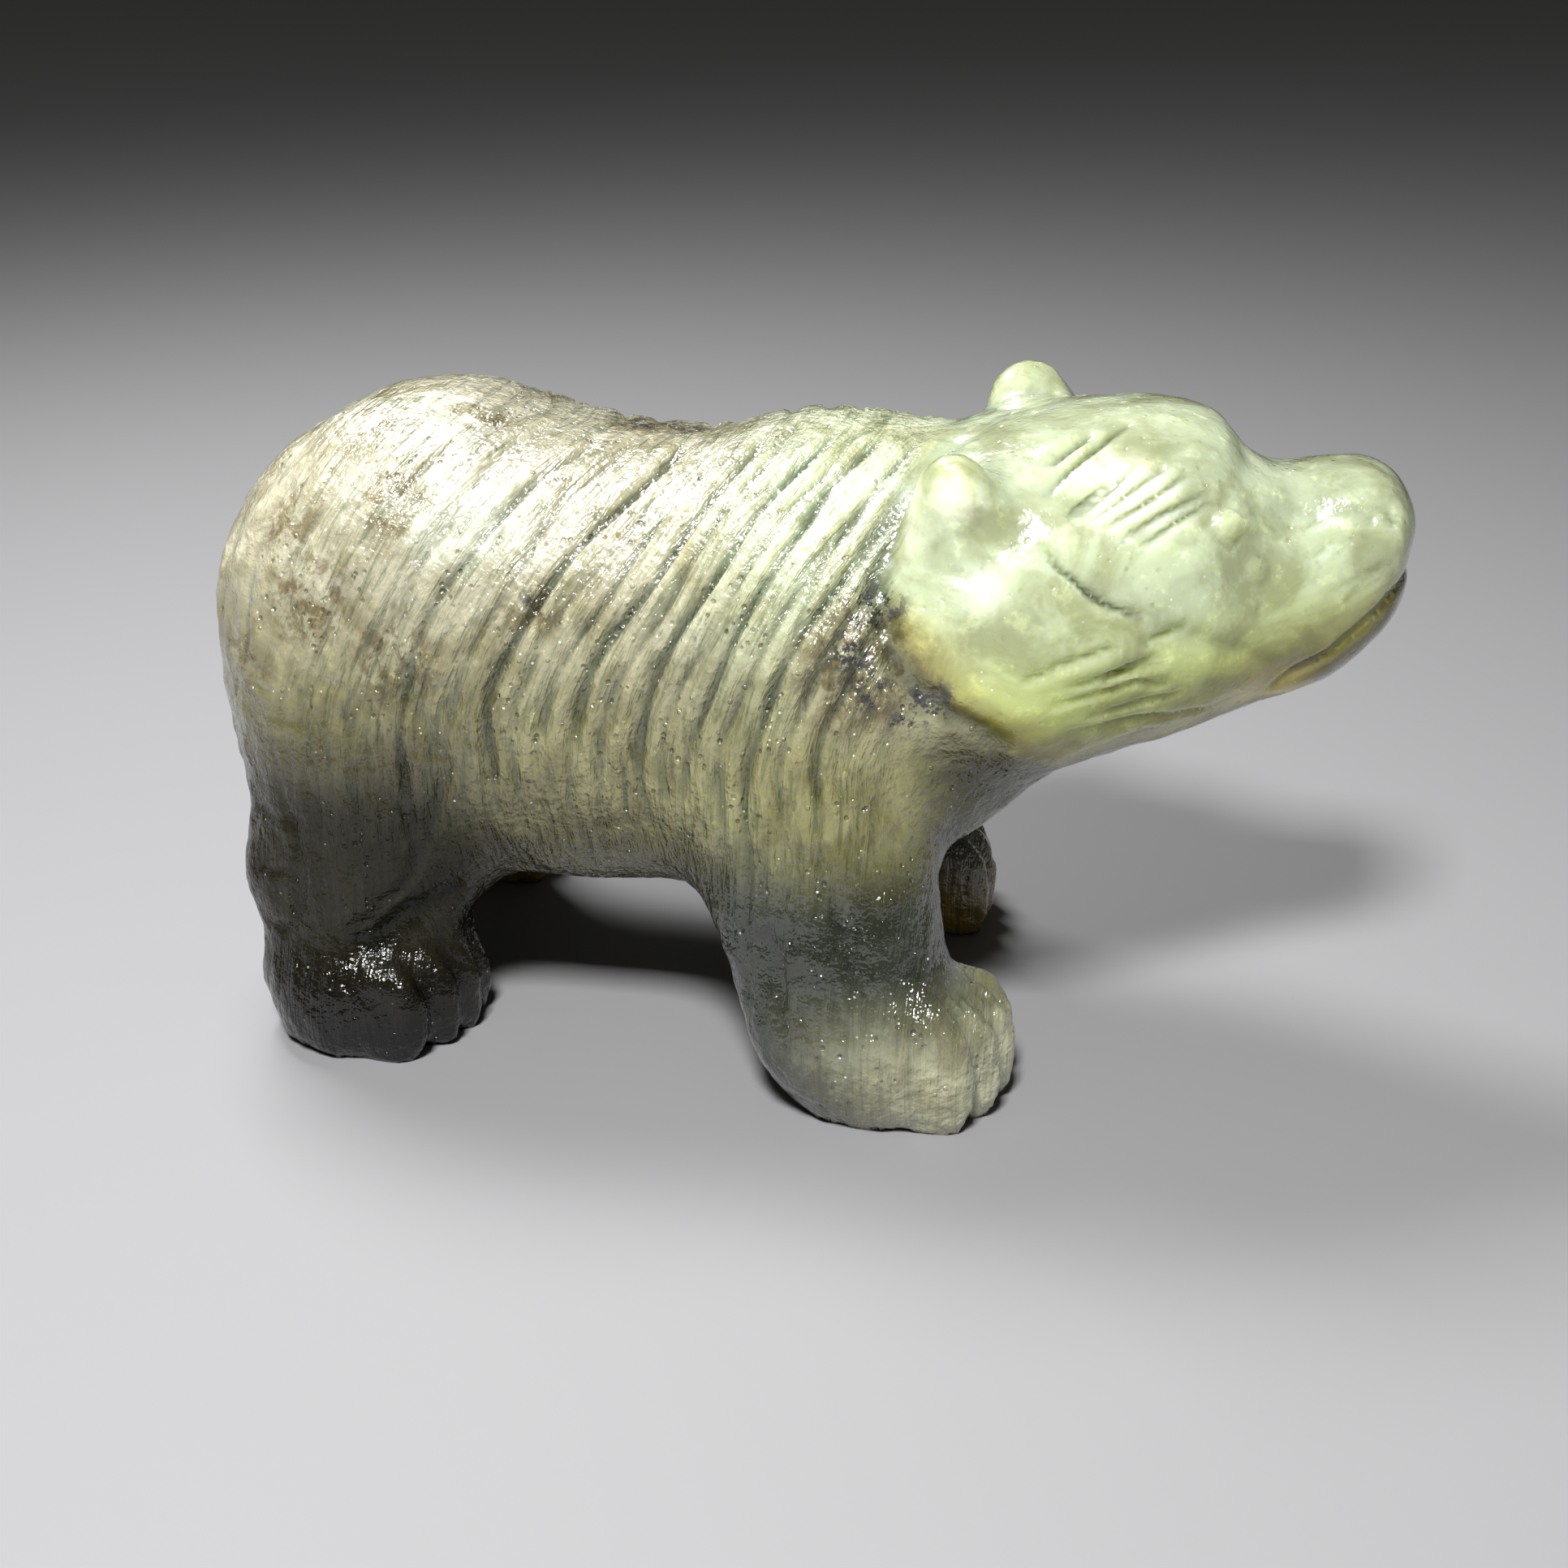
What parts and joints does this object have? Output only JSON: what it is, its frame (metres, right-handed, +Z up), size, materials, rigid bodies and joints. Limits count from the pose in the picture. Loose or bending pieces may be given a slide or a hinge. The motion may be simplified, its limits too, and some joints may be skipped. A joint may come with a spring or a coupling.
{
  "type": "polar bear figurine",
  "caption": "Small polar bear carved from one stone, walking on all fours with its head held forward and a combed coat; it stands on its own flat soles.",
  "frame": {"origin": "under the middle of the figure's box, on the level of its soles", "axes": "+X from the rump to the nose, +Y to the bear's left, +Z up"},
  "size_m": [0.0496, 0.0242, 0.027],
  "materials": {
    "labradorite": "polished, glossy, slightly translucent"
  },
  "bodies": {
    "root": {"polar_bear": "labradorite"}
  },
  "joints": []
}
